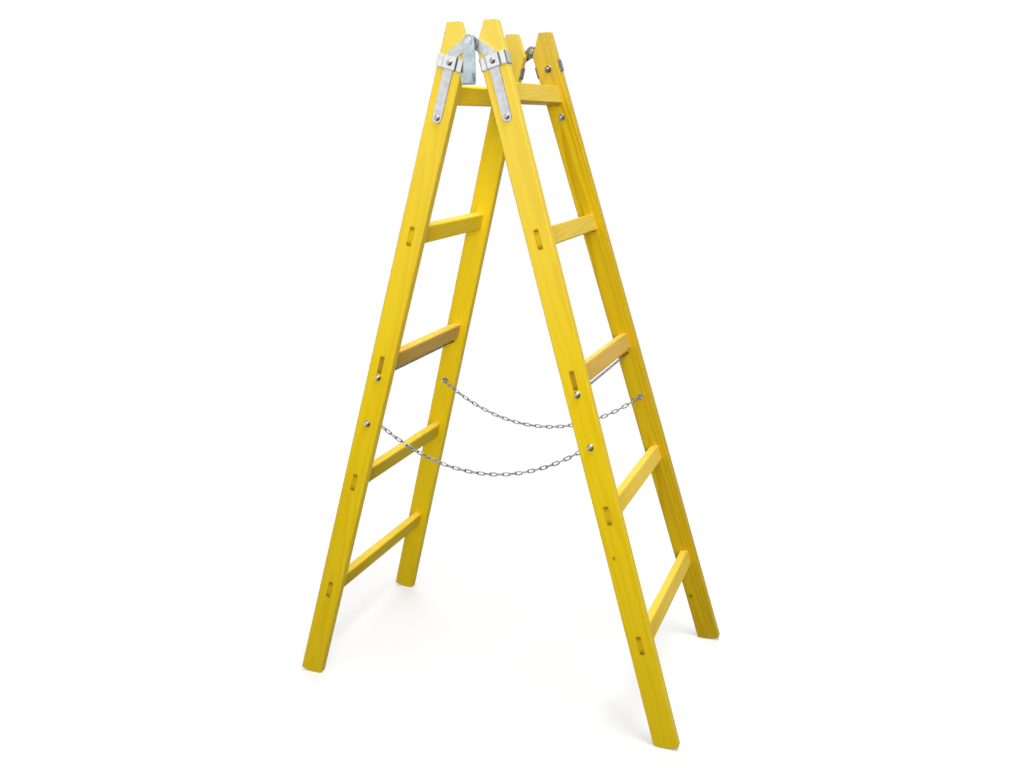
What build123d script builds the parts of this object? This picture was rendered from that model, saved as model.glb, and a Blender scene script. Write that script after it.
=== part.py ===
"""Wooden double-sided stepladder: two five-rung halves on a top pivot, held by two slack chains.

Each half is drawn upright with the pivot at the origin: X runs out from the pivot, front is -Y,
and a drop is a distance below the pivot. The halves are then leaned apart and lifted to the floor.
"""

import math
import os

from build123d import *

# Stance
lean = 16
splay = 0.06
pivot_half_width = 158.7

# Stiles
stile_width = 52
stile_thick = 20
stile_offset = 32.8
stile_drop = 1455
stile_rise = 21
stile_edge = 1.5
top_flat = 25
taper_drop = 13
foot_radius = 80
foot_shift = 10

# Rungs, with wedged through tenons
rung_count = 5
rung_pitch = 280
first_rung_drop = 104.7
rung_height = 37
rung_thick = 20
rung_edge = 2
tenon_height = 30
tenon_thick = 9.5
wedge_outer = 3.8
wedge_inner = 1

# Tie rod below the middle rung of each half
tie_gap = 10
tie_dia = 5

# Hinge straps and clamps
strap_width = 20
strap_thick = 2.5
strap_head_radius = 12
strap_bend = 20
head_flat = 20
leaf_play = 0.3
upper_bolt_drop = 46.8
lower_bolt_drop = 150
clamp_height = 24
clamp_thick = 2
clamp_gap = 2.5

# Pivot pins and the hook plate
pin_dia = 8
pin_play = 0.05
pin_head_dia = 13
pin_head_height = 2
pin_head_edge = 0.7
spacer_dia = 15
hook_width = 24
hook_thick = 2
hook_drop = 76
hook_bend = 5
hook_lip = 20
hook_flare = 5
hook_clear = 0.5

# Fasteners
bolt_dia = 6
bolt_head_dia = 11
bolt_head_height = 4.4
bolt_tail = 2
nut_across = 10
nut_height = 5
washer_dia = 15
washer_thick = 1.2
dome_dia = 14
dome_height = 8
dome_collar = 2.5

# Chains
chain_drop = 801
chain_slack = 1.09
run_links = 6
runs = 3
link_wire = 2.5
link_bore = 4
link_play = 0.08
eye_wire = 3.2
eye_bore = 9
eye_stand = 10
eye_shank = 5
eye_collar_dia = 13
eye_collar = 1.5

# Values worked out from the sizes above
halves = ("left", "right")
sides = {"front": -1, "rear": 1}
nut_sides = 6
wire_sides = 4
shank_sides = 8
head_sides = 12
dome_turns = (0, 35, 65)
slant = math.hypot(1, splay)
stile_run = stile_thick * slant
strap_run = strap_thick * slant
inner_edge = stile_offset - stile_width / 2
outer_edge = stile_offset + stile_width / 2
rung_drops = [first_rung_drop + rung_pitch * i for i in range(rung_count)]
tie_drop = rung_drops[rung_count // 2] + rung_height / 2 + tie_gap
lean_sin = math.sin(math.radians(lean))
lean_cos = math.cos(math.radians(lean))
foot_x = stile_offset + foot_shift
foot_z = math.sqrt(foot_radius**2 - foot_shift**2) - stile_drop
pivot_height = foot_radius - foot_x * lean_sin - foot_z * lean_cos
far = stile_drop + foot_radius


def face(drop):
    """Half width over the outer faces of the stiles."""
    return pivot_half_width + splay * drop


def foot(x):
    """Height of the rounded foot below the pivot, in the upright half."""
    return foot_z - math.sqrt(foot_radius**2 - (x - foot_x) ** 2)


def outer_frame(drop):
    """Plane on the outer face of a front stile's middle line: x outwards, y up the face, z off the wood."""
    return Plane(origin=(stile_offset, -face(drop), -drop), x_dir=(1, 0, 0), z_dir=(0, -1, splay))


def inner_frame(drop):
    """The same point carried through to the inner face, with z off the wood."""
    near = outer_frame(drop)
    return Plane(origin=near.origin - near.z_dir * stile_thick, x_dir=(-1, 0, 0), z_dir=-near.z_dir)


def prism(points):
    """Y-Z outline carried through the whole half along X."""
    with BuildPart() as block:
        with BuildSketch(Plane.YZ):
            with BuildLine():
                Polyline(*points, close=True)
            make_face()
        extrude(amount=far, both=True)
    return block.part


def button(frame, rings):
    """Many-sided head of a fastener, through rings of radius and height above the frame."""
    with BuildPart() as body:
        for (radius, height), (tip, top) in zip(rings, rings[1:]):
            with BuildSketch(frame.offset(height)):
                RegularPolygon(radius, head_sides)
            inset = (radius - tip) * math.cos(math.pi / head_sides)
            extrude(amount=top - height, taper=math.degrees(math.atan2(inset, top - height)))
    return body.part


def dome(radius, base, top):
    """Rings of a dome from its rim to its crown."""
    turns = [math.radians(a) for a in dome_turns]
    return [(radius * math.cos(a), base + (top - base) * math.sin(a)) for a in turns]


def shank(frame, dia, start, end):
    """Many-sided shank of a fastener between two heights, or its bore."""
    with BuildPart() as body:
        with BuildSketch(frame.offset(start)):
            RegularPolygon(dia / 2, shank_sides)
        extrude(amount=end - start)
    return body.part


def cross_rod(drop, dia):
    """Rod along Y through both stiles at a drop."""
    return shank(Plane(origin=(stile_offset, 0, -drop), x_dir=(1, 0, 0), z_dir=(0, -1, 0)), dia, -far, far)


def bolt_bore(drop):
    """Bore of a hinge bolt, through all that it holds."""
    return shank(outer_frame(drop), bolt_dia, -2 * stile_thick, 2 * stile_thick)


def stood(piece, half, side="front"):
    """A front piece of the upright right half, set in its place on the open ladder."""
    if side == "rear":
        piece = mirror(piece, about=Plane.XZ, mode=Mode.PRIVATE)
    piece = Pos(0, 0, pivot_height) * Rot(0, -lean, 0) * piece
    if half == "left":
        piece = mirror(piece, about=Plane.YZ, mode=Mode.PRIVATE)
    return piece


def save(node, name):
    """Label a finished piece and write its file."""
    node.part.label = name
    export_step(node.part, f"parts/{name}.step")


os.makedirs("parts", exist_ok=True)

# Room taken by a front stile, by the whole width, and by the space between the stiles
low, high = -far, far
front_slab = prism(
    [
        (-face(-high), high),
        (-face(-low), low),
        (stile_run - face(-low), low),
        (stile_run - face(-high), high),
    ]
)
full_width = prism([(-face(-low), low), (face(-low), low), (face(-high), high), (-face(-high), high)])
clear_low, clear_high = face(-low) - stile_run, face(-high) - stile_run
clear_width = prism([(-clear_low, low), (clear_low, low), (clear_high, high), (-clear_high, high)])


def mortise(drop):
    """Flared slot for a tenon and its two wedges."""
    out, into = face(drop) + stile_thick, face(drop) - stile_run - stile_thick
    rate = (wedge_outer - wedge_inner) / stile_run
    tall = tenon_height / 2 + wedge_outer + rate * stile_thick
    short = tenon_height / 2 + wedge_inner - rate * stile_thick
    points = [(-out, tall - drop), (-out, -tall - drop), (-into, -short - drop), (-into, short - drop)]
    with BuildPart() as slot:
        with BuildSketch(Plane.YZ.offset(stile_offset)):
            with BuildLine():
                Polyline(*points, close=True)
            make_face()
        extrude(amount=tenon_thick / 2, both=True)
    return slot.part


def tenon_bar(drop):
    """Tenon stock of one rung, running the whole way across."""
    with BuildPart() as bar:
        with BuildSketch(Plane.XZ):
            with Locations((stile_offset, -drop)):
                Rectangle(tenon_thick, tenon_height)
        extrude(amount=far, both=True)
    return bar.part


# Stile of the front
top_inner = (outer_edge - top_flat * lean_cos, stile_rise + top_flat * lean_sin)
with BuildPart() as stile:
    with BuildSketch(Plane.XZ):
        with BuildLine():
            Polyline(
                (outer_edge, foot(outer_edge)),
                (outer_edge, stile_rise),
                top_inner,
                (inner_edge, -taper_drop),
                (inner_edge, foot(inner_edge)),
            )
            ThreePointArc(
                (inner_edge, foot(inner_edge)),
                (stile_offset, foot(stile_offset)),
                (outer_edge, foot(outer_edge)),
            )
        make_face()
    extrude(amount=far)
    add(front_slab, mode=Mode.INTERSECT)
    chamfer(stile.edges().sort_by(SortBy.LENGTH)[-4:], stile_edge)
    for drop in rung_drops:
        add(mortise(drop), mode=Mode.SUBTRACT)
    for drop in (upper_bolt_drop, lower_bolt_drop):
        add(bolt_bore(drop), mode=Mode.SUBTRACT)
    add(cross_rod(tie_drop, tie_dia), mode=Mode.SUBTRACT)
    add(cross_rod(chain_drop, eye_shank), mode=Mode.SUBTRACT)

for half in halves:
    for side in sides:
        with BuildPart() as node:
            add(stood(stile.part, half, side))
        save(node, f"stile_{half}_{side}")

# Rungs: a body between the stiles and a tenon through each
for number, drop in enumerate(rung_drops, start=1):
    with BuildPart() as rung:
        with BuildSketch(Plane.XZ):
            with Locations((stile_offset, -drop)):
                Rectangle(rung_thick, rung_height)
        extrude(amount=far, both=True)
        chamfer(rung.edges().filter_by(Axis.Y), rung_edge)
        add(clear_width, mode=Mode.INTERSECT)
        add(tenon_bar(drop) & full_width)
    for half in halves:
        with BuildPart() as node:
            add(stood(rung.part, half))
        save(node, f"rung_{half}_{number}")

# Wedges above and below each tenon
with BuildPart() as wedges:
    for drop in rung_drops:
        wedged = (mortise(drop) & front_slab) - tenon_bar(drop)
        add(wedged)
        mirror(wedged, about=Plane.XZ)

for half in halves:
    with BuildPart() as node:
        add(stood(wedges.part, half))
    save(node, f"tenon_wedges_{half}")

# Tie rod, flush with the stiles under its nuts
with BuildPart() as tie_rod:
    add(cross_rod(tie_drop, tie_dia))
    add(full_width, mode=Mode.INTERSECT)

dome_rings = [(dome_dia / 2, 0)] + dome(dome_dia / 2, dome_collar, dome_height)
for half in halves:
    with BuildPart() as node:
        add(stood(tie_rod.part, half))
    save(node, f"tie_rod_{half}")
    for name, drop in {"tie_rod_nuts": tie_drop, "chain_eye_nuts": chain_drop}.items():
        with BuildPart() as node:
            for side in sides:
                add(stood(button(outer_frame(drop), dome_rings), half, side))
        save(node, f"{name}_{half}")

# Hinge leaves: the leg lies on the stile, and the head is set square to the pivot
leaf_face = {"right": face(head_flat)}
leaf_face["left"] = leaf_face["right"] + strap_thick + leaf_play
leg_top = upper_bolt_drop - clamp_height / 2 - clamp_gap
leg_end = lower_bolt_drop + strap_width
hole_dia = {"left": pin_dia, "right": pin_dia + 2 * pin_play}


def strap(half):
    """Curved strap of one half's front hinge."""
    head = leaf_face[half]
    inside = [(-head, high), (-head, -head_flat), (-face(leg_top), -leg_top), (-face(leg_end), -leg_end)]
    outside = [(-head - strap_thick, high), (-head - strap_thick, -head_flat)]
    outside += [(-face(drop) - strap_run, -drop) for drop in (leg_top, leg_end)]
    with BuildPart() as leaf:
        with BuildSketch(Plane.XZ):
            with BuildLine():
                FilletPolyline(
                    (0, 0),
                    (stile_offset, -leg_top),
                    (stile_offset, -lower_bolt_drop),
                    radius=strap_bend,
                )
            trace(line_width=strap_width)
            Circle(strap_head_radius)
            with Locations((stile_offset, -lower_bolt_drop)):
                Circle(strap_width / 2)
            Circle(hole_dia[half] / 2, mode=Mode.SUBTRACT)
        extrude(amount=far)
        add(prism(inside + outside[::-1]), mode=Mode.INTERSECT)
        for drop in (upper_bolt_drop, lower_bolt_drop):
            add(bolt_bore(drop), mode=Mode.SUBTRACT)
    return leaf.part


# Clamp round the outer face and both edges of a stile, stepped over the strap
clamp_top = outer_frame(upper_bolt_drop)
clamp_top = Plane(
    origin=clamp_top.origin + clamp_top.y_dir * clamp_height / 2, x_dir=(1, 0, 0), z_dir=-clamp_top.y_dir
)
lap, step = stile_width / 2, strap_width / 2 + clamp_gap
under = [(lap, -stile_thick), (lap, 0), (step, 0), (step, strap_thick)]
over = [
    (lap + clamp_thick, -stile_thick),
    (lap + clamp_thick, clamp_thick),
    (step + clamp_thick, clamp_thick),
    (step + clamp_thick, strap_thick + clamp_thick),
]
band = under + [(-x, y) for x, y in under[::-1] + over] + over[::-1]
with BuildPart() as clamp:
    with BuildSketch(clamp_top):
        with BuildLine():
            Polyline(*band, close=True)
        make_face()
    extrude(amount=clamp_height)
    add(bolt_bore(upper_bolt_drop), mode=Mode.SUBTRACT)

for half in halves:
    for side in sides:
        with BuildPart() as node:
            add(stood(strap(half), half, side))
        save(node, f"hinge_strap_{half}_{side}")
        with BuildPart() as node:
            add(stood(clamp.part, half, side))
        save(node, f"strap_clamp_{half}_{side}")

# Hinge bolts: the upper pair sits on the clamps, the lower pair on the straps
bolt_seats = {upper_bolt_drop: strap_thick + clamp_thick, lower_bolt_drop: strap_thick}
bolt_end = -stile_thick - washer_thick - nut_height - bolt_tail


def bolt(drop):
    """Domed bolt through strap and stile."""
    seat = bolt_seats[drop]
    with BuildPart() as body:
        add(shank(outer_frame(drop), bolt_dia, bolt_end, seat))
        add(button(outer_frame(drop), dome(bolt_head_dia / 2, seat, seat + bolt_head_height)))
    return body.part


def nut(drop):
    """Washer and hexagon nut on the inner face."""
    with BuildPart() as body:
        with BuildSketch(inner_frame(drop)):
            RegularPolygon(washer_dia / 2, head_sides)
        extrude(amount=washer_thick)
        with BuildSketch(inner_frame(drop).offset(washer_thick)):
            RegularPolygon(nut_across / 2, nut_sides, major_radius=False)
        extrude(amount=nut_height)
        add(bolt_bore(drop), mode=Mode.SUBTRACT)
    return body.part


for half in halves:
    for name, maker in {"hinge_bolts": bolt, "hinge_nuts": nut}.items():
        with BuildPart() as node:
            for side in sides:
                for drop in bolt_seats:
                    add(stood(maker(drop), half, side))
        save(node, f"{name}_{half}")

# Pivot pins, with the hook plate and its spacer on the front one
pin_inner = leaf_face["right"] - leaf_play
leaf_outer = leaf_face["left"] + strap_thick
clamp_face = face(upper_bolt_drop + clamp_height / 2) + (strap_thick + clamp_thick) * slant
bolt_face = face(upper_bolt_drop) + bolt_seats[upper_bolt_drop] + bolt_head_height
hook_face = max(clamp_face, bolt_face) + hook_clear
pin_outer = {"front": hook_face + hook_thick + leaf_play, "rear": leaf_outer}


def pin_head(frame):
    """Flat head of a pivot pin, standing on the frame."""
    with BuildPart() as body:
        with BuildSketch(frame):
            RegularPolygon(pin_head_dia / 2, head_sides)
        extrude(amount=pin_head_height)
        crown = body.faces().sort_by(Axis(frame.origin, frame.z_dir))[-1]
        chamfer(crown.edges(), pin_head_edge)
    return body.part


def pin(outer):
    """Front pivot pin with a head at each end, from inside the right leaf to the outer face given."""
    with BuildPart() as body:
        with BuildSketch(Plane.XZ.offset(pin_inner)):
            Circle(pin_dia / 2)
        extrude(amount=outer - pin_inner)
        add(pin_head(Plane.XZ.offset(outer)))
        add(pin_head(Plane(origin=(0, -pin_inner, 0), x_dir=(1, 0, 0), z_dir=(0, 1, 0))))
    return Pos(0, 0, pivot_height) * body.part


for side in sides:
    with BuildPart() as node:
        add(pin(pin_outer[side]))
        if side == "rear":
            mirror(about=Plane.XZ, mode=Mode.REPLACE)
    save(node, f"pivot_pin_{side}")

with BuildPart() as spacer:
    with BuildSketch(Plane.XZ.offset(leaf_outer)):
        RegularPolygon(spacer_dia / 2, head_sides)
        RegularPolygon(pin_dia / 2, head_sides, major_radius=False, mode=Mode.SUBTRACT)
    extrude(amount=hook_face - leaf_play - leaf_outer)
with BuildPart() as node:
    add(Pos(0, 0, pivot_height) * spacer.part)
save(node, "hook_spacer")

# Hook plate: a strip from the pin, turned up in front as a lip
hook_middle = hook_face + hook_thick / 2
with BuildPart() as hook:
    with BuildSketch(Plane.YZ):
        with BuildLine():
            FilletPolyline(
                (-hook_middle, hook_width),
                (-hook_middle, -hook_drop),
                (-hook_middle - 2 * hook_bend, -hook_drop),
                (-hook_middle - 2 * hook_bend - hook_flare, hook_lip - hook_drop),
                radius=hook_bend,
            )
        trace(line_width=hook_thick)
    extrude(amount=hook_width / 2, both=True)
    with BuildSketch(Plane.XZ):
        Circle(hook_width / 2)
        with Locations((0, -hook_drop)):
            Rectangle(hook_width, 2 * hook_drop)
        Circle(pin_dia / 2 + pin_play, mode=Mode.SUBTRACT)
    extrude(amount=far, mode=Mode.INTERSECT)
with BuildPart() as node:
    add(Pos(0, 0, pivot_height) * hook.part)
save(node, "bucket_hook")

# Course of a hanging chain: the slope of each link grows evenly from the middle one
link_count = 2 * run_links * runs + 1
middle = run_links * runs
eye_x = stile_offset * lean_cos + chain_drop * lean_sin
eye_z = pivot_height + stile_offset * lean_sin - chain_drop * lean_cos
eye_y = face(chain_drop) - stile_run - eye_stand
eye_hold = (eye_bore - link_play) / 2
link_pitch = (chain_slack * 2 * eye_x - 2 * eye_hold) / link_count


def slopes(rate):
    """Slope of every link, in radians, for a chain this much curved."""
    return [math.atan(rate * (i - middle)) for i in range(link_count)]


def reach(rate):
    """Width that a chain of this curve spans, eye to eye."""
    turns = slopes(rate)
    return sum(link_pitch * math.cos(a) for a in turns) + 2 * eye_hold * math.cos(turns[0])


flat, steep, settled = 0, 1, 1e-9
while steep - flat > settled:
    trial = (flat + steep) / 2
    flat, steep = (trial, steep) if reach(trial) > 2 * eye_x else (flat, trial)
link_slopes = slopes(flat)
courses = [Vector(math.cos(a), 0, math.sin(a)) for a in link_slopes]
joints = [Vector(-eye_x, 0, eye_z) + courses[0] * eye_hold]
for course in courses:
    joints.append(joints[-1] + course * link_pitch)


def ring(length, width, wire):
    """Welded ring of four-sided wire in the X-Y plane: length and width on the wire's middle line."""
    side = width / 2
    bevel = side * math.tan(math.pi / 8)
    tip, shoulder = length / 2, length / 2 - side + bevel
    corner = [(shoulder, side), (tip, bevel), (tip, -bevel), (shoulder, -side)]
    with BuildPart() as body:
        with BuildLine():
            Polyline((0, side), *corner, *[(-x, -y) for x, y in corner], (0, side))
        with BuildSketch(Plane(origin=(0, side, 0), x_dir=(0, 1, 0), z_dir=(1, 0, 0))):
            RegularPolygon(wire / 2, wire_sides)
        sweep(transition=Transition.RIGHT)
    return body.part


link = ring(link_pitch + link_wire + link_play, link_bore + link_wire, link_wire)


def placed_link(i, y):
    """Link number i: even ones stand in the X-Z plane, odd ones are turned a quarter."""
    across = Vector(0, 1, 0) if i % 2 == 0 else courses[i].cross(Vector(0, 1, 0))
    centre = (joints[i] + joints[i + 1]) / 2 + Vector(0, y, 0)
    return Plane(origin=centre, x_dir=courses[i], z_dir=across).location * link


run_names = [f"left_{n}" for n in range(1, runs + 1)] + ["middle"]
run_names += [f"right_{n}" for n in range(runs, 0, -1)]
run_sizes = [run_links] * runs + [1] + [run_links] * runs
for side, towards in sides.items():
    start = 0
    for name, size in zip(run_names, run_sizes):
        with BuildPart() as node:
            for i in range(start, start + size):
                add(placed_link(i, towards * eye_y))
        save(node, f"chain_{side}_{name}")
        start += size

# Chain eyes: a shank through the stile, a collar and a ring turned to the pull of the chain
pull = link_slopes[0] + math.radians(lean)
pull = Vector(-math.cos(pull), 0, math.sin(pull))
eye_size = eye_bore + eye_wire
shank_drops = (chain_drop - eye_shank, chain_drop + eye_shank)
shank_room = [(-face(drop), -drop) for drop in shank_drops]
shank_room += [(-eye_y - eye_size / 2, -drop) for drop in shank_drops[::-1]]
eye_at = Vector(stile_offset, -eye_y, -chain_drop)
eye_plane = Plane(origin=eye_at, x_dir=pull, z_dir=pull.cross(Vector(0, 1, 0)))
with BuildPart() as eye:
    add(cross_rod(chain_drop, eye_shank))
    add(prism(shank_room), mode=Mode.INTERSECT)
    add(shank(inner_frame(chain_drop), eye_collar_dia, 0, eye_collar))
    add(eye_plane.location * ring(eye_size, eye_size, eye_wire))

for half in halves:
    with BuildPart() as node:
        for side in sides:
            add(stood(eye.part, half, side))
    save(node, f"chain_eyes_{half}")
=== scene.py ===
"""Looks of the wooden double-sided stepladder: lacquered pine, zinc-plated fittings, wire chains.

Sizes are in metres and repeat those of the part. A half is described upright with the pivot at its
origin, as in the part, and stood in its place by stand().
"""

import math

import bmesh
import bpy
from mathutils import Matrix, Vector


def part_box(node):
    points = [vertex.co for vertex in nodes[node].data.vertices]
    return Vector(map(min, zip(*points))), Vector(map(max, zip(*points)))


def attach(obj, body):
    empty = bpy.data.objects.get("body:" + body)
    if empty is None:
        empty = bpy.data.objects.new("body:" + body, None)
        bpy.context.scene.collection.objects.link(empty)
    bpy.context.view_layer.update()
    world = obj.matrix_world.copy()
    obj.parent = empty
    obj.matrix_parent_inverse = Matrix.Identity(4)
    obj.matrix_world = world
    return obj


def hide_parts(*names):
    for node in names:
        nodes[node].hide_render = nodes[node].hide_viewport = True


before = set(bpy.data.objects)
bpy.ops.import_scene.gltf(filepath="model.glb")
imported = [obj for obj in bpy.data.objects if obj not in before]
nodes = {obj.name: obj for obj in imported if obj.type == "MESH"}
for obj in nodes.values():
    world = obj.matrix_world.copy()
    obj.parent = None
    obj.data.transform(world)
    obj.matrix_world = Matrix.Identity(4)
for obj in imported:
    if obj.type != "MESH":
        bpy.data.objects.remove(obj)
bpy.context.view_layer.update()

# Stance and wood
lean = math.radians(16)
splay = 0.06
pivot_half_width = 0.1587
stile_width = 0.052
stile_thick = 0.020
stile_offset = 0.0328
rung_count = 5
rung_pitch = 0.280
first_rung_drop = 0.1047
tenon_thick = 0.0095
mortise_height = 0.0376

# Straps and clamps
strap_thick = 0.0025
clamp_height = 0.024
clamp_thick = 0.002
clamp_bend = 0.0022
clamp_step = 0.0155
step_bend = 0.0015
step_slope = math.radians(50)

# Fasteners; a share is one of the radius
upper_bolt_drop = 0.0468
lower_bolt_drop = 0.150
bolt_dia = 0.006
bolt_head_dia = 0.011
bolt_head_height = 0.0044
bolt_head_wall = 0.0007
bolt_tail = 0.002
nut_across = 0.010
nut_height = 0.005
washer_dia = 0.015
washer_thick = 0.0012
dome_dia = 0.014
dome_height = 0.008
dome_collar = 0.0025
dome_share = 0.9
tie_drop = 0.6932
tie_dia = 0.005
pin_dia = 0.008
pin_head_dia = 0.013
pin_head_height = 0.002
thread_pitch = 0.001
thread_share = 0.86
ease = 0.0003
lead = 0.0004
chamfer = 0.0006

# Ends of turned pieces, as shares of the radius and heights
rod_tip = ((0, 0), (0.7, 0))
bolt_foot = ((0, 0), (0.96, 0), (1, ease))
nut_collar = ((0, 0), (0.97, 0), (1, ease), (1, dome_collar - 0.0005), (0.93, dome_collar))
pin_crown = ((0, 0), (0.66, 0), (0.88, ease), (1, 0.0009))
pin_foot = ((1, pin_head_height - 0.0002), (0.97, pin_head_height))
eye_neck = ((0.95, -chamfer), (0.7, lead), (0, chamfer))

# Chains
chain_drop = 0.801
chain_slack = 1.09
run_links = 6
runs = 3
link_wire = 0.0025
link_bore = 0.004
link_play = 0.00008
weld_swell = 0.16
eye_wire = 0.0032
eye_bore = 0.009
eye_stand = 0.010
eye_shank = 0.005
eye_collar_dia = 0.013
eye_collar = 0.0015
eye_thread_gap = 0.0002
eye_thread_pitch = 0.0008

# Fineness of the meshes
rod_segments = 20
tie_segments = 24
nut_segments = 48
eye_steps = 14
eye_around = 12

# Values worked out from the sizes above
halves = ("left", "right")
sides = {"front": -1, "rear": 1}
slant = math.hypot(1, splay)
pin_low, pin_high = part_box("pivot_pin_rear")
pivot_height = (pin_low.z + pin_high.z) / 2
x_axis, y_axis, z_axis = Vector((1, 0, 0)), Vector((0, 1, 0)), Vector((0, 0, 1))


def face(drop):
    """Half width over the outer faces of the stiles."""
    return pivot_half_width + splay * drop


def stand(half, side="front"):
    """Matrix from the upright right half's front to a half and side of the open ladder."""
    matrix = Matrix.Translation((0, 0, pivot_height)) @ Matrix.Rotation(-lean, 4, "Y")
    if side == "rear":
        matrix = matrix @ Matrix.Scale(-1, 4, y_axis)
    if half == "left":
        matrix = Matrix.Scale(-1, 4, x_axis) @ matrix
    return matrix


def axes(origin, x, z):
    """Matrix of a right-handed frame with these x and z directions."""
    x, z = Vector(x).normalized(), Vector(z).normalized()
    return Matrix.Translation(origin) @ Matrix((x, z.cross(x), z)).transposed().to_4x4()


def on_stile(drop):
    """Frame on the outer face of the upright front stile, z off the wood."""
    return axes((stile_offset, -face(drop), -drop), x_axis, (0, -1, splay))


# Camera, fitted to the pivots, rungs, bolts and feet of the photograph
turn, pitch, roll = math.radians(22.069), math.radians(-17.692), math.radians(-1.143)
camera_place = (0.77425, -1.90503, pivot_height - 0.15692)
focal, axis_row = 944.8, 430
image_width, image_height = 1024, 768
forward = Vector((
    -math.sin(turn) * math.cos(pitch), math.cos(turn) * math.cos(pitch), math.sin(pitch)
))
level = Vector((math.cos(turn), math.sin(turn), 0))
upright = level.cross(forward)
right = level * math.cos(roll) + upright * math.sin(roll)
rise = upright * math.cos(roll) - level * math.sin(roll)
aim = Matrix((right, rise, -forward)).transposed().to_4x4()
camera = bpy.data.objects.new("camera", bpy.data.cameras.new("camera"))
bpy.context.scene.collection.objects.link(camera)
camera.matrix_world = Matrix.Translation(camera_place) @ aim
camera.data.lens = camera.data.sensor_width * focal / image_width
camera.data.shift_y = (axis_row - image_height / 2) / image_width
bpy.context.scene.camera = camera


class Nodes:
    """Node tree under construction: small calls that add a node and give its output."""

    def __init__(self, tree):
        self.tree = tree

    def put(self, kind, inputs=None, **settings):
        node = self.tree.nodes.new(kind)
        for key, value in settings.items():
            setattr(node, key, value)
        self.feed(node, inputs or {})
        return node

    def feed(self, node, inputs):
        for socket, value in inputs.items():
            if isinstance(value, bpy.types.NodeSocket):
                self.tree.links.new(value, node.inputs[socket])
            else:
                node.inputs[socket].default_value = value

    def math(self, operation, *values):
        node = self.put("ShaderNodeMath", dict(enumerate(values)), operation=operation)
        return node.outputs[0]

    def times(self, first, second):
        return self.math("MULTIPLY", first, second)

    def most(self, first, second):
        return self.math("MAXIMUM", first, second)

    def seen(self):
        """1 for a ray that shows what it meets: from the camera, mirrored or through glass."""
        rays = self.put("ShaderNodeLightPath").outputs
        shown = self.most(rays["Is Camera Ray"], rays["Is Glossy Ray"])
        return self.most(shown, rays["Is Transmission Ray"])

    def blend(self, factor, first, second):
        """One shader taken over by another."""
        return self.put("ShaderNodeMixShader", {0: factor, 1: first, 2: second}).outputs[0]


class Shader(Nodes):
    """Node material, with the calls that paint a surface."""

    def __init__(self, name):
        self.material = bpy.data.materials.new(name)
        self.material.use_nodes = True
        super().__init__(self.material.node_tree)
        self.out = self.tree.nodes["Principled BSDF"]
        self.coords = self.put("ShaderNodeTexCoord").outputs
        self.true_normal = self.put("ShaderNodeNewGeometry").outputs["True Normal"]

    def vector(self, operation, *values):
        node = self.put("ShaderNodeVectorMath", dict(enumerate(values)), operation=operation)
        return node.outputs["Value" if operation in ("LENGTH", "DOT_PRODUCT") else "Vector"]

    def split(self, vector):
        return self.put("ShaderNodeSeparateXYZ", {0: vector}).outputs

    def facing(self, axis):
        """How far the surface faces along an axis."""
        return self.vector("DOT_PRODUCT", self.coords["Normal"], axis)

    def place(self, vector, location, rotation):
        """Coordinates in a frame that stands at a location with a rotation."""
        inputs = {"Vector": vector, "Location": location, "Rotation": rotation}
        return self.put("ShaderNodeMapping", inputs, vector_type="TEXTURE").outputs["Vector"]

    def noise(self, vector, cells, detail=2, roughness=0.5, output="Fac"):
        """Noise with so many cells a metre along each axis."""
        stretched = self.vector("MULTIPLY", vector, cells)
        inputs = {"Vector": stretched, "Scale": 1, "Detail": detail, "Roughness": roughness}
        return self.put("ShaderNodeTexNoise", inputs).outputs[output]

    def span(self, value, low, high, start=0, end=1):
        """Value taken smoothly from one span to another, and held at its ends."""
        inputs = {"Value": value, "From Min": low, "From Max": high}
        inputs.update({"To Min": start, "To Max": end})
        return self.put("ShaderNodeMapRange", inputs, interpolation_type="SMOOTHSTEP").outputs[0]

    def mix(self, factor, first, second, blend="MIX"):
        """Mix of two colours; a colour mix has its factor at input 0 and the colours at 6 and 7."""
        colours = [c if isinstance(c, bpy.types.NodeSocket) else (*c, 1) for c in (first, second)]
        inputs = {0: factor, 6: colours[0], 7: colours[1]}
        return self.put("ShaderNodeMix", inputs, data_type="RGBA", blend_type=blend).outputs[2]

    def edges(self, radius):
        """Rounded normal near the edges, and a mask of the edges themselves."""
        normal = self.put("ShaderNodeBevel", {"Radius": radius}, samples=4).outputs[0]
        straight = self.vector("DOT_PRODUCT", normal, self.true_normal)
        return normal, self.span(straight, 0.99, 0.85)

    def bump(self, height, strength, distance, normal):
        inputs = {"Height": height, "Strength": strength, "Distance": distance, "Normal": normal}
        return self.put("ShaderNodeBump", inputs).outputs[0]


# Patterns of the wood, in cells a metre: twice across the grain and once along it
drift_cells = (9, 9, 1.3)
cover_cells = (12, 12, 1.6)
blotch_cells = (16, 16, 2.2)
fibre_cells = (900, 900, 16)
streak_cells = (420, 420, 9)
wear_cells = (60, 60, 14)
edge_patch_cells = (120, 120, 26)
gloss_cells = (30, 30, 5)

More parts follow.
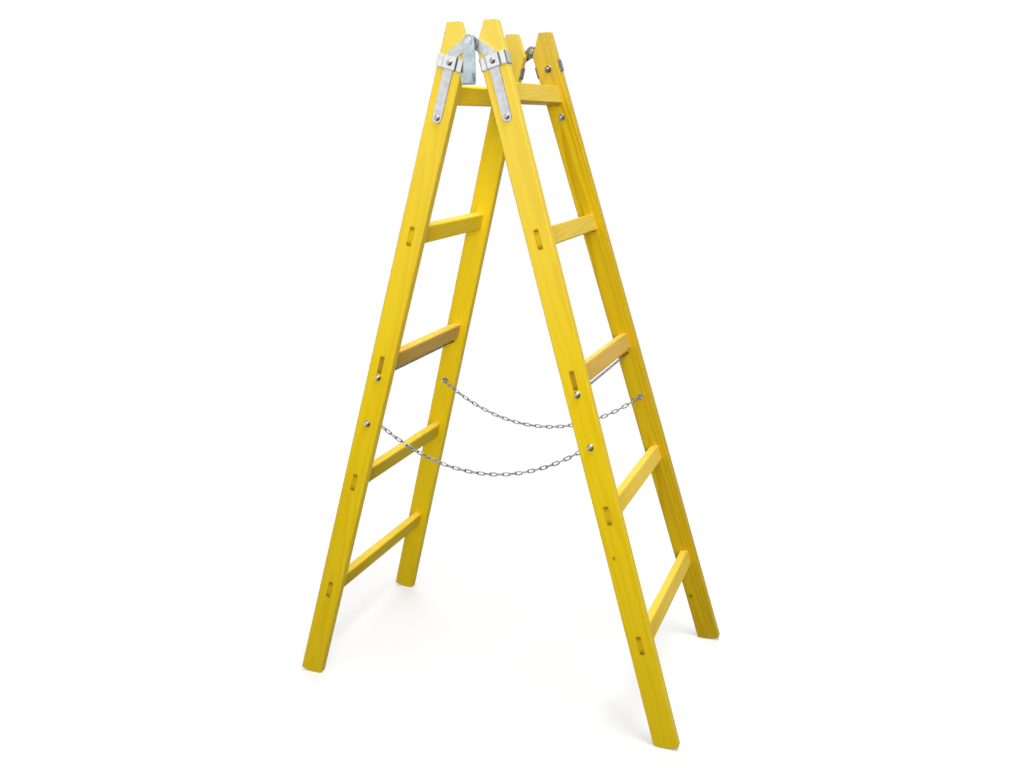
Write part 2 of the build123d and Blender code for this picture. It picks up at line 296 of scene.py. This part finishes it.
# Sizes and strengths in the wood. A fade runs between two heights from the pivot line, and glue
# between two distances past the side or end of a tenon.
drift_reach = 0.024
faint_rings = 0.35
blotch_share, fibre_share, streak_share = 0.45, 0.38, 0.5
knot_stretch = (1, 0, 0.7)
knot_halo, knot_core, halo_share = 2.6, 0.6, 0.5
end_share = 0.8
# Painted light: the stiles paler towards the top, by a share for each stile, and more in the top
# few centimetres
top_light_fade, top_light_share = (-0.16, 0.02), 0.55
upper_light_fade = (-0.8, -0.1)
glue_line, glue_share = (0.0012, 0.0002), 0.55
glue_soak, soak_share = (0.0032, 0.0004), 0.6
soak_sides = (0.0012, -0.0008)
tenon_soak, tenon_share = (0.007, 0.015), 0.55
worn_least, worn_most = 0.55, 0.9
wood_edge = 0.0012
# Edges of the wood: painted shade darkens them in patches, and the lacquer is rubbed duller there
shade_rub_least, shade_rub_most, edge_shade_tone = 0.05, 0.5, 0.7
lacquer_smooth, lacquer_dull, rub_dull = 0.36, 0.52, 0.15
fibre_height, ring_height = 0.5, 0.6
grain_strength, grain_relief = 0.22, 0.0005


def glue_marks(shader, grain):
    """Mask of the glue round the through tenons of a stile and soaked in at their ends."""
    across, _, down = shader.split(shader.vector("ABSOLUTE", grain))
    pitch_along = rung_pitch * slant
    first = (first_rung_drop - rung_pitch / 2) * slant
    step = shader.math("MODULO", shader.math("SUBTRACT", down, first), pitch_along)
    rows = shader.math("ABSOLUTE", shader.math("SUBTRACT", step, pitch_along / 2))
    past_end = shader.math("SUBTRACT", rows, mortise_height / 2)
    past_side = shader.math("SUBTRACT", across, tenon_thick / 2)
    out = shader.math("ABSOLUTE", shader.most(past_end, past_side))
    line = shader.span(out, *glue_line, 0, glue_share)
    soaked = shader.span(past_end, *glue_soak, 0, soak_share)
    return shader.most(line, shader.times(soaked, shader.span(past_side, *soak_sides)))


def wood(
    name, board, tones, pith, tilt, depth, ring_width=0.0038, knots=(), mortises=False,
    upper_light=0.0, tread=None, gleam=0.08,
):
    """Lacquered softwood. The board frame has z along the grain and y off its outer face.

    Tones are the pale, deep, end-grain and fleck colours. Depth is how strongly the rings show, and
    gleam how much the lacquer shines. A knot has its x, z and size. Boards with mortises are
    stiles: glue marks their tenons, and painted light makes them paler towards the top, by the
    share given.
    A tread is the colour of a worn top face.
    """
    pale, deep, end, fleck = tones
    shader = Shader(name)
    grain = shader.place(shader.coords["Object"], board.translation, board.to_euler())

    # Growth rings about a pith beside the board, wandering along its length
    drift = shader.noise(grain, drift_cells, 3, output="Color")
    sway, centre = (drift_reach, drift_reach, 0), (-drift_reach / 2, -drift_reach / 2, 0)
    drift = shader.vector("MULTIPLY_ADD", drift, sway, centre)
    round_pith = shader.place(shader.vector("ADD", grain, drift), pith, tilt)
    radius = shader.vector("LENGTH", shader.vector("MULTIPLY", round_pith, (1, 1, 0)))
    ring = shader.math("FRACT", shader.math("DIVIDE", radius, ring_width))
    late = shader.times(shader.span(ring, 0.25, 0.86), shader.span(ring, 1, 0.93))
    cover = shader.span(shader.noise(grain, cover_cells), 0.3, 0.7, faint_rings * depth, depth)
    colour = shader.mix(shader.times(late, cover), pale, deep)

    # Blotches of the stain, fine fibres, short resin flecks and knots
    blotch = shader.noise(grain, blotch_cells, 3, 0.6)
    colour = shader.mix(shader.span(blotch, 0.42, 0.75, 0, blotch_share), colour, deep)
    fibre = shader.noise(grain, fibre_cells, 3, 0.6)
    colour = shader.mix(shader.span(fibre, 0.45, 0.8, 0, fibre_share), colour, deep)
    streak = shader.noise(grain, streak_cells)
    colour = shader.mix(shader.span(streak, 0.66, 0.78, 0, streak_share), colour, fleck)
    for x, z, size in knots:
        apart = shader.vector("SUBTRACT", grain, (x, 0, z))
        apart = shader.vector("LENGTH", shader.vector("MULTIPLY", apart, knot_stretch))
        halo = shader.span(apart, knot_halo * size, size, 0, halo_share)
        colour = shader.mix(halo, colour, deep)
        colour = shader.mix(shader.span(apart, size, knot_core * size), colour, fleck)

    # End grain, and on stiles painted light that pales the upper part, and the glue round the
    # tenons
    squareness = shader.math("ABSOLUTE", shader.facing(board.col[2].xyz))
    cut = shader.span(squareness, 0.6, 0.85)
    colour = shader.mix(shader.times(cut, end_share), colour, end)
    if mortises:
        height = shader.split(grain)[2]
        painted_light = shader.span(height, *top_light_fade, 0, top_light_share)
        painted_light = shader.most(painted_light, shader.span(height, *upper_light_fade, 0, upper_light))
        colour = shader.mix(painted_light, colour, end)
        colour = shader.mix(glue_marks(shader, grain), colour, fleck)

    # Glue soaked into the ends of a rung beside the wedges, and lacquer worn thin on its top face
    if tread:
        apart = shader.math("ABSOLUTE", shader.split(grain)[0])
        soaked = shader.times(cut, shader.span(apart, *tenon_soak, 0, tenon_share))
        colour = shader.mix(soaked, colour, fleck)
        top = shader.span(shader.facing(board.col[0].xyz), 0.75, 0.95)
        worn = shader.noise(grain, wear_cells, 3, 0.6)
        worn = shader.span(worn, 0.3, 0.6, worn_least, worn_most)
        colour = shader.mix(shader.times(top, worn), colour, tread)

    # Edges darkened in patches by painted shade and rubbed duller, satin lacquer and the raised
    # grain under it
    normal, edge = shader.edges(wood_edge)
    edge_patches = shader.noise(grain, edge_patch_cells, 3, 0.65)
    shade_and_rub = shader.times(edge, shader.span(edge_patches, 0.4, 0.62, shade_rub_least, shade_rub_most))
    colour = shader.mix(shade_and_rub, colour, [edge_shade_tone * c for c in deep])
    gloss = shader.noise(grain, gloss_cells, 3, 0.6)
    gloss = shader.span(gloss, 0.3, 0.75, lacquer_smooth, lacquer_dull)
    gloss = shader.math("ADD", gloss, shader.times(shade_and_rub, rub_dull))
    relief = shader.times(fibre, fibre_height)
    relief = shader.math("ADD", relief, shader.times(late, ring_height))
    normal = shader.bump(relief, grain_strength, grain_relief, normal)
    shader.feed(shader.out, {"Base Color": colour, "Roughness": gloss, "Normal": normal})
    shader.feed(shader.out, {"Specular IOR Level": gleam})
    return shader.material


# Patterns of the steel, in cells a metre
cloud_cells = (90, 90, 90)
crystal_cells = 260
spot_cells = (420, 420, 420)
sheet_brush = (160, 160, 1500)
turned_brush = (700, 700, 700)
wire_brush = (900, 900, 900)

# Sizes and strengths in the steel
crystal_share, mark_share, spot_share = 0.05, 0.35, 0.55
spot_shade, dark_shade = 0.35, 0.1
edge_share, edge_lift = 0.4, 0.4
shaded_side = (0.6, 0, -0.8)
corner_reach = 0.004
cloud_dull, spot_dull = 0.16, 0.3
mark_strength, mark_relief = 0.12, 0.0002


def steel(
    name, bright, dull, rough, brush, edge_radius=0.0006, side_shade=0.0, shade_lines=0.6,
    line_width=0.001, bend_shade=0.0,
):
    """Zinc-plated steel: cloudy plating, fine brush marks along an axis, tarnish and worn edges.

    Painted shade darkens what faces down and to the right, and, by a share of its own, the edges
    that do and the inner corners. Bends that turn to the right or, half as much, to the left get
    painted shade by the share given.
    """
    shader = Shader(name)
    at = shader.coords["Object"]

    # Plating with its crystals, brush marks, spots and bright worn edges
    cloud = shader.noise(at, cloud_cells, 4, 0.65)
    colour = shader.mix(shader.span(cloud, 0.35, 0.68), bright, dull)
    crystals = shader.put("ShaderNodeTexVoronoi", {"Vector": at, "Scale": crystal_cells})
    colour = shader.mix(crystal_share, colour, crystals.outputs["Color"], "SOFT_LIGHT")
    marks = shader.noise(at, brush, 3, 0.7)
    colour = shader.mix(shader.span(marks, 0.5, 0.78, 0, mark_share), colour, dull)
    spots = shader.span(shader.noise(at, spot_cells), 0.69, 0.76, 0, spot_share)
    colour = shader.mix(spots, colour, [spot_shade * c for c in dull])
    normal, edge = shader.edges(edge_radius)
    lifted = [edge_lift + (1 - edge_lift) * c for c in bright]
    colour = shader.mix(shader.times(edge, edge_share), colour, lifted)

    # Painted shade on the edges, inner corners, shaded sides and bends
    wide, rim = shader.edges(line_width)
    below = shader.vector("DOT_PRODUCT", wide, shaded_side)
    edge_shade_line = shader.times(rim, shader.span(below, -0.2, 0.15, 0, shade_lines))
    settings = dict(samples=8, only_local=True)
    open_to = shader.put("ShaderNodeAmbientOcclusion", {"Distance": corner_reach}, **settings)
    corner_shade = shader.span(open_to.outputs["AO"], 0.95, 0.6, 0, shade_lines)
    dark = shader.most(edge_shade_line, corner_shade)
    dark = shader.most(dark, shader.span(below, -0.1, 0.6, 0, side_shade))
    if bend_shade:
        for axis, share in ((x_axis, bend_shade), (-x_axis, bend_shade / 2)):
            facing = shader.facing(axis)
            bend_darkening = shader.span(facing, 0.15, 0.45, 0, share)
            bend_darkening = shader.times(bend_darkening, shader.span(facing, 0.95, 0.8))
            dark = shader.most(dark, bend_darkening)
    colour = shader.mix(dark, colour, [dark_shade * c for c in dull])

    gloss = shader.span(cloud, 0.3, 0.75, rough, rough + cloud_dull)
    gloss = shader.math("ADD", gloss, shader.times(spots, spot_dull))
    normal = shader.bump(marks, mark_strength, mark_relief, normal)
    shader.feed(shader.out, {"Base Color": colour, "Roughness": gloss, "Normal": normal})
    shader.feed(shader.out, {"Metallic": 1})
    return shader.material


def dress(name, material):
    """Give a CAD node its material."""
    nodes[name].data.materials.clear()
    nodes[name].data.materials.append(material)


# Stiles: each board has its own cut, and the right rear one shows the boldest grain
stile_tones = (
    (0.88, 0.63, 0.012), (0.75, 0.48, 0.005), (0.76, 0.605, 0.17), (0.36, 0.19, 0.003),
)
bold_tones = (
    (0.68, 0.46, 0.010), (0.45, 0.265, 0.004), (0.72, 0.53, 0.10), (0.24, 0.12, 0.003),
)
# Each cut also gives the share of painted light that makes its stile paler towards the top
cuts = {
    ("left", "front"): dict(
        tones=stile_tones, depth=0.5, upper_light=0.22,
        pith=(0.010, -0.075, 0), tilt=(0.010, 0.004, 0),
    ),
    ("right", "front"): dict(
        tones=stile_tones, depth=0.45, upper_light=0.36,
        pith=(-0.016, -0.085, 0.3), tilt=(-0.008, 0.006, 0), knots=((0.0092, -1.0358, 0.0028),),
    ),
    ("left", "rear"): dict(
        tones=stile_tones, depth=0.3, upper_light=0.06,
        pith=(0.02, -0.06, 0), tilt=(0.012, -0.006, 0),
    ),
    ("right", "rear"): dict(
        tones=bold_tones, depth=0.8, ring_width=0.006,
        pith=(-0.006, -0.052, 0), tilt=(0.012, 0.003, 0), knots=((-0.0146, -1.3327, 0.0034),),
    ),
}


def board_frame(half, side):
    """Frame of a stile's board: z up along it and y off its outer face."""
    stood = stand(half, side)
    spin = stood.to_3x3()
    up, off = spin @ Vector((0, splay, 1)), spin @ Vector((0, -1, splay))
    return axes(stood @ Vector((stile_offset, -face(0), 0)), off.cross(up), up)


for (half, side), cut in cuts.items():
    name = f"stile_{half}_{side}"
    dress(name, wood(name, board_frame(half, side), mortises=True, **cut))

# Rungs: paler and browner than the stiles, with the grain across the ladder and the third one tan
rung_tones = {
    "left": ((0.84, 0.61, 0.02), (0.70, 0.46, 0.010), (0.69, 0.45, 0.003), (0.30, 0.15, 0.006)),
    "right": ((0.80, 0.575, 0.075), (0.64, 0.41, 0.03), (0.66, 0.43, 0.002), (0.30, 0.15, 0.01)),
}
tan_tones = (
    (0.74, 0.475, 0.10), (0.58, 0.345, 0.055), (0.38, 0.235, 0.004), (0.30, 0.15, 0.02),
)
tan_rung = 3
# Brightness of each rung: painted light, lighter or darker by how light falls on it
rung_light_tints = {"left": (1.17, 1.18, 0.92, 0.88, 0.98), "right": (0.97, 1.04, 1.02, 1.23, 1.17)}
tread = (0.97, 0.71, 0.09)
rung_look = dict(tilt=(0.012, 0.02, 0), ring_width=0.003, depth=0.6, tread=tread, gleam=0.03)


def rung_pith(number):
    """Pith of a rung's board, below it and elsewhere for each rung."""
    return 0.02 * math.sin(5 * number), 0.05 + 0.012 * math.cos(7 * number), 0


for half in halves:
    up = stand(half).to_3x3() @ z_axis
    for number in range(1, rung_count + 1):
        name = f"rung_{half}_{number}"
        low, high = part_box(name)
        board = axes((low + high) / 2, up, y_axis)
        pale, deep, end, fleck = tan_tones if number == tan_rung else rung_tones[half]
        # each rung's pale and deep tones scaled by its painted light
        light_tint = rung_light_tints[half][number - 1]
        tones = [light_tint * c for c in pale], [light_tint * c for c in deep], end, fleck
        dress(name, wood(name, board, tones, rung_pith(number), **rung_look))

# Wedges: dark hardwood in the tenon ends
wedge_tones = (
    (0.42, 0.225, 0.004), (0.30, 0.145, 0.003), (0.36, 0.18, 0.003), (0.15, 0.065, 0.002),
)
wedge_look = dict(pith=(0, 0.03, 0), tilt=(0, 0, 0), ring_width=0.0015, depth=0.8)
for half in halves:
    name = f"tenon_wedges_{half}"
    board = axes((0, 0, pivot_height), stand(half).to_3x3() @ z_axis, y_axis)
    dress(name, wood(name, board, wedge_tones, **wedge_look))

# Steels, each with its bright and dull tone and its shares of painted shade
strap_steel = steel(
    "strap_steel", (0.77, 0.78, 0.795), (0.61, 0.62, 0.635), 0.28, sheet_brush,
    shade_lines=0.9, line_width=0.003,
)
clamp_steel = steel(
    "clamp_steel", (0.92, 0.93, 0.92), (0.81, 0.82, 0.82), 0.3, sheet_brush,
    side_shade=0.6, shade_lines=0.97, line_width=0.003, bend_shade=0.95,
)
hook_steel = steel(
    "hook_steel", (0.64, 0.765, 0.79), (0.50, 0.595, 0.62), 0.28, sheet_brush, side_shade=0.5,
)
pin_steel = steel(
    "pin_steel", (0.86, 0.90, 0.93), (0.66, 0.70, 0.74), 0.3, turned_brush, side_shade=0.2,
)
# Darker copy of the sheet steel for the rear straps and clamps: painted shade, as they are seen in
# shade between the rear stiles
shaded_steel = steel(
    "shaded_steel", (0.44, 0.44, 0.41), (0.22, 0.22, 0.20), 0.34, sheet_brush,
    side_shade=0.85, shade_lines=0.9, line_width=0.002, bend_shade=0.8,
)
bolt_steel = steel(
    "bolt_steel", (0.62, 0.61, 0.60), (0.30, 0.29, 0.28), 0.16, turned_brush, side_shade=0.92,
)
chain_steel = steel(
    "chain_steel", (0.62, 0.62, 0.65), (0.16, 0.16, 0.18), 0.2, wire_brush,
    edge_radius=0.0003, side_shade=0.8,
)

# Sheet parts that keep their CAD shape
for half in halves:
    dress(f"hinge_strap_{half}_front", strap_steel)
    # rear straps in the darker steel of painted shade
    dress(f"hinge_strap_{half}_rear", shaded_steel)
dress("bucket_hook", hook_steel)


def skin(mesh, rings):
    """Faces between rings of points, each ring to the next; a ring of one point is a tip."""
    for low, high in zip(rings, rings[1:]):
        for k in range(max(len(low), len(high))):
            corners = [low[k % len(low)], low[(k + 1) % len(low)]]
            corners += [high[(k + 1) % len(high)], high[k % len(high)]]
            mesh.faces.new(tuple(dict.fromkeys(corners)))


def turned(mesh, profile, place, across=None, segments=32):
    """Turn a profile of (radius, height) about z, cut to a hexagon if a size across is given."""
    rings = []
    for radius, height in profile:
        ring = []
        for k in range(segments if radius else 1):
            angle = 2 * math.pi * k / segments
            out = radius
            if across:
                off_flat = (angle + math.pi / 6) % (math.pi / 3) - math.pi / 6
                out = min(radius, across / 2 / math.cos(off_flat))
            point = Vector((out * math.cos(angle), out * math.sin(angle), height))
            ring.append(mesh.verts.new(place @ point))
        rings.append(ring)
    skin(mesh, rings)


def looped(mesh, place, length, width, wire, weld=0.0, steps=8, around=8):
    """Bend round wire into a closed link in the place's x-y plane, with a weld on one long side."""
    path = []
    straight = (length - width) / 2
    bead = ((0.6, 1), (0.2, 1 + weld), (-0.2, 1 + weld), (-0.6, 1))
    for end in (1, -1):
        for k in range(steps + 1):
            angle = math.pi * (k / steps - 0.5) + (0 if end == 1 else math.pi)
            out = Vector((math.cos(angle), math.sin(angle), 0))
            path.append((out * width / 2 + Vector((end * straight, 0, 0)), out, 1.0))
        if straight:
            for share, swell in bead:
                at = Vector((end * straight * share, end * width / 2, 0))
                path.append((at, Vector((0, end, 0)), swell if end == 1 else 1.0))
    rings = []
    for at, out, swell in path:
        ring = []
        for k in range(around):
            angle = 2 * math.pi * k / around
            off = out * math.cos(angle) + Vector((0, 0, math.sin(angle)))
            ring.append(mesh.verts.new(place @ (at + off * wire / 2 * swell)))
        rings.append(ring)
    skin(mesh, rings + rings[:1])


def piece(name, mesh, body, material, node, crease=40):
    """Finish a mesh as a piece that rides on a body and stands for a CAD node."""
    bmesh.ops.remove_doubles(mesh, verts=mesh.verts, dist=1e-7)
    bmesh.ops.recalc_face_normals(mesh, faces=mesh.faces)
    data = bpy.data.meshes.new(name)
    mesh.to_mesh(data)
    mesh.free()
    data.polygons.foreach_set("use_smooth", [True] * len(data.polygons))
    data.set_sharp_from_angle(angle=math.radians(crease))
    data.materials.append(material)
    made = bpy.data.objects.new(name, data)
    bpy.context.scene.collection.objects.link(made)
    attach(made, body)
    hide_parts(node)


def shaped(shares, radius, base):
    """Profile from shares of a radius and heights over a base."""
    return [(radius * share, base + height) for share, height in shares]


def dome(radius, base, top, steps=8):
    """Profile of a dome from its rim to its crown."""
    turns = [math.pi / 2 * k / steps for k in range(steps)]
    return [(radius * math.cos(a), base + (top - base) * math.sin(a)) for a in turns] + [(0, top)]


def thread(radius, start, end, pitch=thread_pitch):
    """Profile of a threaded rod between two heights."""
    count = max(1, round(abs(end - start) / pitch))
    rows = []
    for k in range(count):
        at = start + (end - start) * k / count
        rows += [(radius * thread_share, at), (radius, at + (end - start) / count / 2)]
    return rows


def washer(bore, rim, front, back):
    """Closed profile of a washer, its rim eased at the back."""
    profile = [(bore, front), (rim, front), (rim, back + ease), (rim - ease, back), (bore, back)]
    return profile + profile[:1]


def arc(centre, radius, start, end, steps=6):
    """Points round a bend, each with the angle that its outer face has turned from the stile's."""
    angles = [start + (end - start) * k / steps for k in range(steps + 1)]
    return [(centre[0] + radius * math.sin(a), centre[1] + radius * math.cos(a), a) for a in angles]


# Clamps: sheet bent round both edges of the stile and stepped over the strap
sheet_half = clamp_thick / 2
edge_x = stile_width / 2 + sheet_half
climb = (strap_thick - 2 * step_bend * (1 - math.cos(step_slope))) / math.sin(step_slope)
step_run = 2 * step_bend * math.sin(step_slope) + climb * math.cos(step_slope)
step_top = sheet_half + strap_thick
way = [(edge_x, -stile_thick, math.pi / 2)]
way += arc((edge_x - clamp_bend, sheet_half - clamp_bend), clamp_bend, math.pi / 2, 0)
way += arc((clamp_step, sheet_half + step_bend), -step_bend, 0, step_slope)
way += arc((clamp_step - step_run, step_top - step_bend), step_bend, step_slope, 0)
way += [(-x, z, -a) for x, z, a in way[::-1]]
section = [(sheet_half, clamp_height / 2 - ease), (sheet_half - ease, clamp_height / 2)]
section += [(-off, up) for off, up in section[::-1]]
section += [(off, -up) for off, up in section[::-1]]
for half in halves:
    for side in sides:
        name, clamp = f"strap_clamp_{half}_{side}", bmesh.new()
        place = stand(half, side) @ on_stile(upper_bolt_drop)
        rings = []
        for x, z, a in way:
            out_x, out_z = math.sin(a), math.cos(a)
            points = [Vector((x + off * out_x, up, z + off * out_z)) for off, up in section]
            rings.append([clamp.verts.new(place @ point) for point in points])
        skin(clamp, rings)
        clamp.faces.new(rings[0])
        clamp.faces.new(rings[-1])
        # the rear clamps take the darker steel: painted shade
        sheet = clamp_steel if side == "front" else shaded_steel
        piece(f"{name}_bent", clamp, f"{half}_half", sheet, name, 30)

# Hinge bolts with domed heads, and their washers and nuts inside the stiles
seats = {upper_bolt_drop: strap_thick + clamp_thick, lower_bolt_drop: strap_thick}
inside = -stile_thick - washer_thick
nut_end = inside - nut_height
tip = nut_end - bolt_tail
shank, head = bolt_dia / 2, bolt_head_dia / 2
corner, flat = nut_across / math.sqrt(3), nut_across / 2
rod = shaped(rod_tip, shank, tip)
rod += thread(shank, tip + lead, inside + thread_pitch) + [(shank, inside)]
nut = [(shank, inside), (flat, inside), (corner, inside - chamfer), (corner, nut_end + chamfer)]
nut += [(flat, nut_end), (shank + lead, nut_end), (shank, nut_end + lead), (shank, inside)]
bolt_washer = washer(shank, washer_dia / 2, -stile_thick, inside)
for half in halves:
    bolts, nuts = bmesh.new(), bmesh.new()
    for side in sides:
        for drop, seat in seats.items():
            place = stand(half, side) @ on_stile(drop)
            turned(bolts, rod + [(shank, seat)], place, segments=rod_segments)
            cap = dome(head, seat + bolt_head_wall, seat + bolt_head_height)
            turned(bolts, shaped(bolt_foot, head, seat) + cap, place)
            turned(nuts, bolt_washer, place)
            turned(nuts, nut, place, nut_across, nut_segments)
    piece(f"bolts_{half}", bolts, f"{half}_half", bolt_steel, f"hinge_bolts_{half}")
    piece(f"nuts_{half}", nuts, f"{half}_half", bolt_steel, f"hinge_nuts_{half}", crease=25)

# Dome nuts of the tie rods and chain eyes, and the tie rods
rim = dome_dia / 2
cap = shaped(nut_collar, rim, 0) + dome(rim * dome_share, dome_collar + ease, dome_height)
for half in halves:
    for node, drop in {"tie_rod_nuts": tie_drop, "chain_eye_nuts": chain_drop}.items():
        caps = bmesh.new()
        for side in sides:
            turned(caps, cap, stand(half, side) @ on_stile(drop))
        piece(f"{node}_{half}_cap", caps, f"{half}_half", bolt_steel, f"{node}_{half}")
    name, bar, size = f"tie_rod_{half}", bmesh.new(), tie_dia / 2
    low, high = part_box(name)
    end = (high.y - low.y) / 2
    profile = [(0, -end), (size, -end), (size, -end / 2), (size, end / 2), (size, end), (0, end)]
    turned(bar, profile, axes((low + high) / 2, x_axis, y_axis), segments=tie_segments)
    piece(f"{name}_bar", bar, f"{half}_half", bolt_steel, name)

# Pivot pins with a head at each end, and the tube that holds the hook off the leaves
for side, towards in sides.items():
    name, pin = f"pivot_pin_{side}", bmesh.new()
    low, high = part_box(name)
    inner, outer = sorted((towards * low.y, towards * high.y))
    profile = shaped(pin_crown + pin_foot, pin_head_dia / 2, inner)
    profile += [(pin_dia / 2, inner + pin_head_height)]
    profile += [(radius, inner + outer - height) for radius, height in profile[::-1]]
    turned(pin, profile, axes((0, 0, pivot_height), x_axis, (0, towards, 0)))
    plating = pin_steel if side == "front" else bolt_steel
    piece(f"{name}_turned", pin, "left_half", plating, name)

low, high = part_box("hook_spacer")
tube, bore, size = bmesh.new(), pin_dia / 2, (high.z - low.z) / 2
profile = [(bore, low.y), (size - chamfer, low.y), (size, low.y + chamfer)]
profile += [(size, high.y - chamfer), (size - chamfer, high.y), (bore, high.y), (bore, low.y)]
turned(tube, profile, axes((0, 0, pivot_height), x_axis, y_axis))
piece("hook_spacer_tube", tube, "left_half", bolt_steel, "hook_spacer")

# Hanging chains: the slope of each link grows evenly from the middle one
link_count = 2 * run_links * runs + 1
eye_x = stile_offset * math.cos(lean) + chain_drop * math.sin(lean)
eye_z = pivot_height + stile_offset * math.sin(lean) - chain_drop * math.cos(lean)
eye_y = face(chain_drop) - stile_thick * slant - eye_stand
eye_hold = (eye_bore - link_play) / 2
link_pitch = (chain_slack * 2 * eye_x - 2 * eye_hold) / link_count


def slopes(rate):
    """Slope of every link for a chain this much curved."""
    return [math.atan(rate * (i - run_links * runs)) for i in range(link_count)]


def reach(rate):
    """Width that a chain of this curve spans, eye to eye."""
    turns = slopes(rate)
    return sum(link_pitch * math.cos(a) for a in turns) + 2 * eye_hold * math.cos(turns[0])


slack_rate, steep_rate = 0, 1
while steep_rate - slack_rate > 1e-9:
    trial = (slack_rate + steep_rate) / 2
    if reach(trial) > 2 * eye_x:
        slack_rate = trial
    else:
        steep_rate = trial
courses = [Vector((math.cos(a), 0, math.sin(a))) for a in slopes(slack_rate)]
joints = [Vector((-eye_x, 0, eye_z)) + courses[0] * eye_hold]
for course in courses:
    joints.append(joints[-1] + course * link_pitch)

run_names = [f"left_{n}" for n in range(1, runs + 1)] + ["middle"]
run_names += [f"right_{n}" for n in range(runs, 0, -1)]
run_sizes = [run_links] * runs + [1] + [run_links] * runs
link_size = (link_pitch + link_wire + link_play, link_bore + link_wire, link_wire)
for side, towards in sides.items():
    start = 0
    for name, size in zip(run_names, run_sizes):
        links = bmesh.new()
        for i in range(start, start + size):
            across = y_axis if i % 2 == 0 else courses[i].cross(y_axis)
            centre = (joints[i] + joints[i + 1]) / 2 + y_axis * towards * eye_y
            looped(links, axes(centre, courses[i], across), *link_size, weld=weld_swell)
        node = f"chain_{side}_{name}"
        piece(f"links_{side}_{name}", links, f"chain_{name}", chain_steel, node)
        start += size

# Eye bolts that hold the chains
pull_angle = math.atan2(courses[0].z, courses[0].x) + lean
pull = Vector((-math.cos(pull_angle), 0, math.sin(pull_angle)))
eye_at = Vector((stile_offset, -eye_y, -chain_drop))
eye_size = eye_bore + eye_wire
neck, shank = -eye_size / 2, eye_shank / 2
outer_face = eye_y - face(chain_drop)
wood_face = outer_face + stile_thick * slant
rod = [(0, outer_face), (shank, outer_face), (shank, wood_face), (shank, wood_face + eye_collar)]
thread_start = wood_face + eye_collar + eye_thread_gap
rod += thread(shank, thread_start, neck - chamfer, eye_thread_pitch)
rod += shaped(eye_neck, shank, neck)
collar = washer(shank, eye_collar_dia / 2, -stile_thick, -stile_thick - eye_collar)
for half in halves:
    eyes = bmesh.new()
    for side in sides:
        stood = stand(half, side)
        ring_place = stood @ axes(eye_at, pull, pull.cross(y_axis))
        looped(eyes, ring_place, eye_size, eye_size, eye_wire, steps=eye_steps, around=eye_around)
        turned(eyes, rod, stood @ axes(eye_at, x_axis, y_axis), segments=rod_segments)
        turned(eyes, collar, stood @ on_stile(chain_drop))
    piece(f"eyes_{half}", eyes, f"{half}_half", chain_steel, f"chain_eyes_{half}")

# White studio: a floor that keeps the shadow and fades to plain white, and a white world round it.
# Both give less light than they show.
floor_radius, floor_segments = 30, 96
floor_cells = (3, 3, 3)
floor_tones = (0.70, 0.70, 0.70), (0.72, 0.72, 0.72)
floor_lift = 0.3
floor_bounce = (0.22, 0.22, 0.22, 1)
floor_fade = (0.7, 1.6)
world_light = 0.25
pure_white = (1, 1, 1, 1)

floor_mesh = bmesh.new()
bmesh.ops.create_circle(floor_mesh, cap_ends=True, segments=floor_segments, radius=floor_radius)
floor_data = bpy.data.meshes.new("floor")
floor_mesh.to_mesh(floor_data)
floor_mesh.free()
floor = bpy.data.objects.new("floor", floor_data)
bpy.context.scene.collection.objects.link(floor)
studio = Shader("studio_floor")
studio.tree.nodes.remove(studio.out)
tone = studio.mix(studio.noise(studio.coords["Object"], floor_cells, 4), *floor_tones)
lit = studio.put("ShaderNodeBsdfDiffuse", {"Color": tone}).outputs[0]
lift = studio.put("ShaderNodeEmission", {"Color": pure_white, "Strength": floor_lift}).outputs[0]
white = studio.put("ShaderNodeEmission", {"Color": pure_white, "Strength": 1}).outputs[0]
bounce = studio.put("ShaderNodeBsdfDiffuse", {"Color": floor_bounce}).outputs[0]
near = studio.put("ShaderNodeAddShader", {0: lit, 1: lift}).outputs[0]
distance = studio.vector("LENGTH", studio.coords["Object"])
shown = studio.blend(studio.span(distance, *floor_fade), near, white)
surface = studio.blend(studio.seen(), bounce, shown)
studio.feed(studio.tree.nodes["Material Output"], {"Surface": surface})
floor_data.materials.append(studio.material)

world = bpy.data.worlds.new("studio")
bpy.context.scene.world = world
world.use_nodes = True
sky = Nodes(world.node_tree)
plain = sky.tree.nodes["Background"]
sky.feed(plain, {"Color": pure_white, "Strength": world_light})
white = sky.put("ShaderNodeBackground", {"Color": pure_white, "Strength": 1}).outputs[0]
surface = sky.blend(sky.seen(), plain.outputs[0], white)
sky.feed(sky.tree.nodes["World Output"], {"Surface": surface})


def softbox(name, place, target, size, power, spread=180, glare=True):
    """Square area light aimed at a point, with a grid where its spread is less than half a turn.

    A light without glare doesn't show in the metal.
    """
    lamp = bpy.data.lights.new(name, "AREA")
    lamp.size, lamp.energy, lamp.spread = size, power, math.radians(spread)
    made = bpy.data.objects.new(name, lamp)
    made.location = place
    made.rotation_mode = "QUATERNION"
    made.rotation_quaternion = (Vector(target) - Vector(place)).to_track_quat("-Z", "Y")
    made.visible_glossy = glare
    bpy.context.scene.collection.objects.link(made)


softbox("key", (1.4, -3.6, 1.7), (0, 0, 1.45), size=1.4, power=16.5, spread=68, glare=False)
softbox("top", (1.2, -0.6, 4.4), (0, 0, 0.9), size=1.8, power=122)
softbox("fill", (-1.7, -1.5, 2.7), (0, 0, 1.0), size=2.4, power=11, glare=False)
softbox("rim", (-1.4, 2.7, 3.0), (0, 0, 0.8), size=3.2, power=72, glare=False)

bpy.context.scene.view_settings.view_transform = "Standard"
